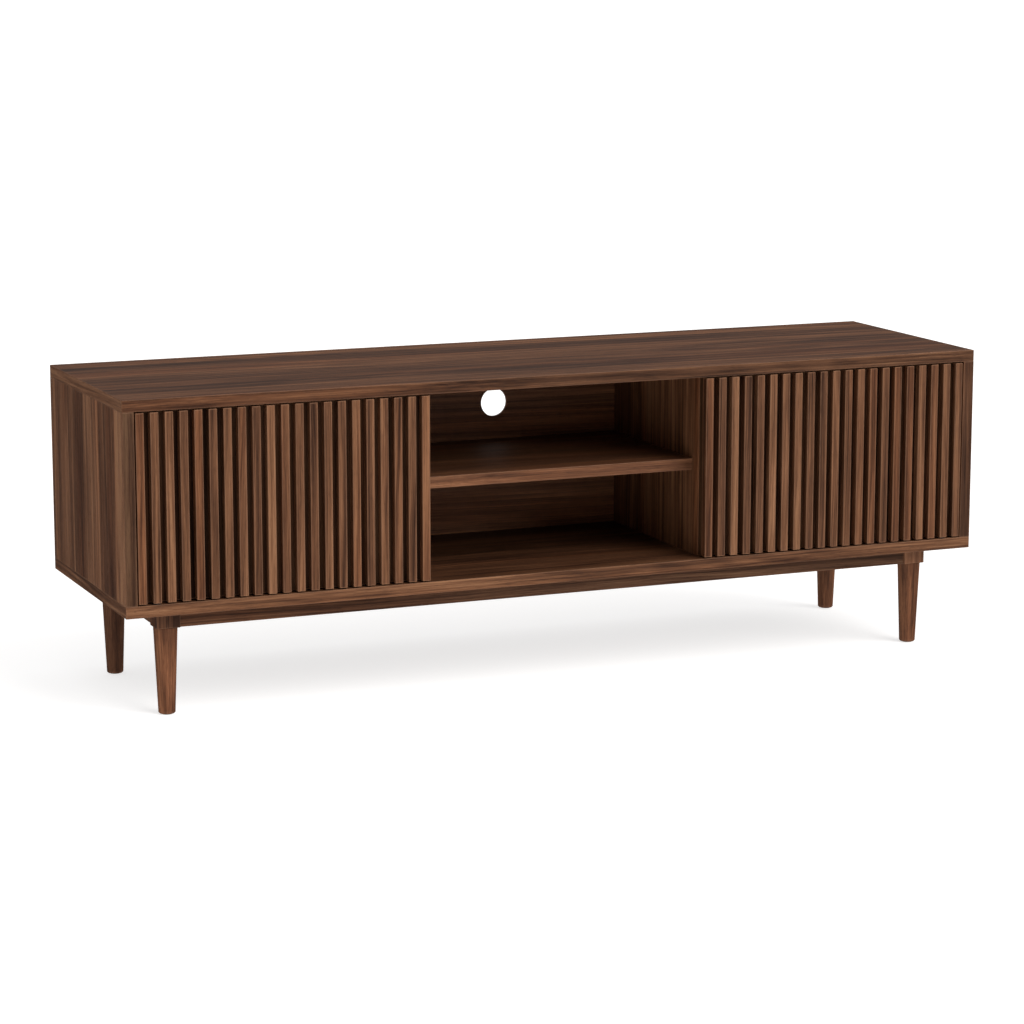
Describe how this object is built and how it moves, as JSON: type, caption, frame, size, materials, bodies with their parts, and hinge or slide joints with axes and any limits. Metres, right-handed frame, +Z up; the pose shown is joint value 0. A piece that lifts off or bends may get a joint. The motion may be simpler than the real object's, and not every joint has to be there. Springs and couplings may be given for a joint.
{
  "type": "tv stand",
  "caption": "Low media cabinet on tapered legs: a slatted door each side of an open bay with a shelf and a cable hole in the back.",
  "frame": {"origin": "on the floor, under the middle of the cabinet", "axes": "+X to the right along the length, +Y to the back, +Z up; the doors face -Y"},
  "size_m": [1.4, 0.4, 0.48],
  "materials": {
    "walnut_board": "walnut veneer, satin lacquer",
    "walnut_back": "walnut veneer, satin lacquer",
    "walnut_door_board": "dark walnut veneer, satin",
    "walnut_slat": "solid walnut, satin lacquer",
    "walnut_leg": "turned solid walnut, satin lacquer",
    "walnut_frame": "solid walnut, satin lacquer",
    "beech_dowel": "plain beech",
    "zinc_steel": "zinc plated",
    "insert_brass": "plain",
    "dark_steel": "black oxide",
    "black_nylon": "matt",
    "grey_plastic": "matt",
    "magnet_nickel": "nickel plated",
    "glide_plastic": "hard plastic",
    "bumper_rubber": "soft dot"
  },
  "bodies": {
    "root": {"back_panel": "walnut_back", "back_panel_screws": "dark_steel", "bottom_panel": "walnut_board", "cam_bolts": "zinc_steel", "cam_discs": "zinc_steel", "door_bumpers": "bumper_rubber", "frame_dowels": "beech_dowel", "front_left_block": "walnut_frame", "front_left_leg": "walnut_leg", "front_rail": "walnut_frame", "front_right_block": "walnut_frame", "front_right_leg": "walnut_leg", "hanger_bolts": "zinc_steel", "latch_screws": "dark_steel", "left_divider": "walnut_board", "left_latch_body": "black_nylon", "left_pivot_bushes": "black_nylon", "left_rail": "walnut_frame", "left_side_panel": "walnut_board", "leg_glides": "glide_plastic", "panel_dowels": "beech_dowel", "rail_screws": "dark_steel", "rear_left_block": "walnut_frame", "rear_left_leg": "walnut_leg", "rear_rail": "walnut_frame", "rear_right_block": "walnut_frame", "rear_right_leg": "walnut_leg", "right_divider": "walnut_board", "right_latch_body": "black_nylon", "right_pivot_bushes": "black_nylon", "right_rail": "walnut_frame", "right_side_panel": "walnut_board", "shelf": "walnut_board", "shelf_pins": "zinc_steel", "threaded_inserts": "insert_brass", "top_panel": "walnut_board"},
    "left_door": {"left_door_board": "walnut_door_board", "left_door_slats": "walnut_slat", "left_pivot_plates": "dark_steel", "left_pivot_screws": "dark_steel", "left_strike_plate": "zinc_steel", "left_strike_screws": "dark_steel"},
    "right_door": {"right_door_board": "walnut_door_board", "right_door_slats": "walnut_slat", "right_pivot_plates": "dark_steel", "right_pivot_screws": "dark_steel", "right_strike_plate": "zinc_steel", "right_strike_screws": "dark_steel"},
    "left_plunger": {"left_latch_plunger": "grey_plastic", "left_latch_magnet": "magnet_nickel"},
    "right_plunger": {"right_latch_plunger": "grey_plastic", "right_latch_magnet": "magnet_nickel"}
  },
  "joints": [
    {"name": "left_door_hinge", "type": "hinge", "parent": "root", "child": "left_door", "pos_m": [-0.65182, -0.192, 0.32], "axis": [0, 0, -1], "range_deg": [0, 110]},
    {"name": "right_door_hinge", "type": "hinge", "parent": "root", "child": "right_door", "pos_m": [0.65182, -0.192, 0.32], "axis": [0, 0, 1], "range_deg": [0, 110]},
    {"name": "left_latch_slide", "type": "slide", "parent": "root", "child": "left_plunger", "axis": [0, -1, 0], "range_m": [0, 0.01]},
    {"name": "right_latch_slide", "type": "slide", "parent": "root", "child": "right_plunger", "axis": [0, -1, 0], "range_m": [0, 0.01]}
  ],
  "couplings": [
    {"joint": "left_latch_slide", "follows": "left_door_hinge", "m_per_rad": 0.005},
    {"joint": "right_latch_slide", "follows": "right_door_hinge", "m_per_rad": 0.005}
  ]
}
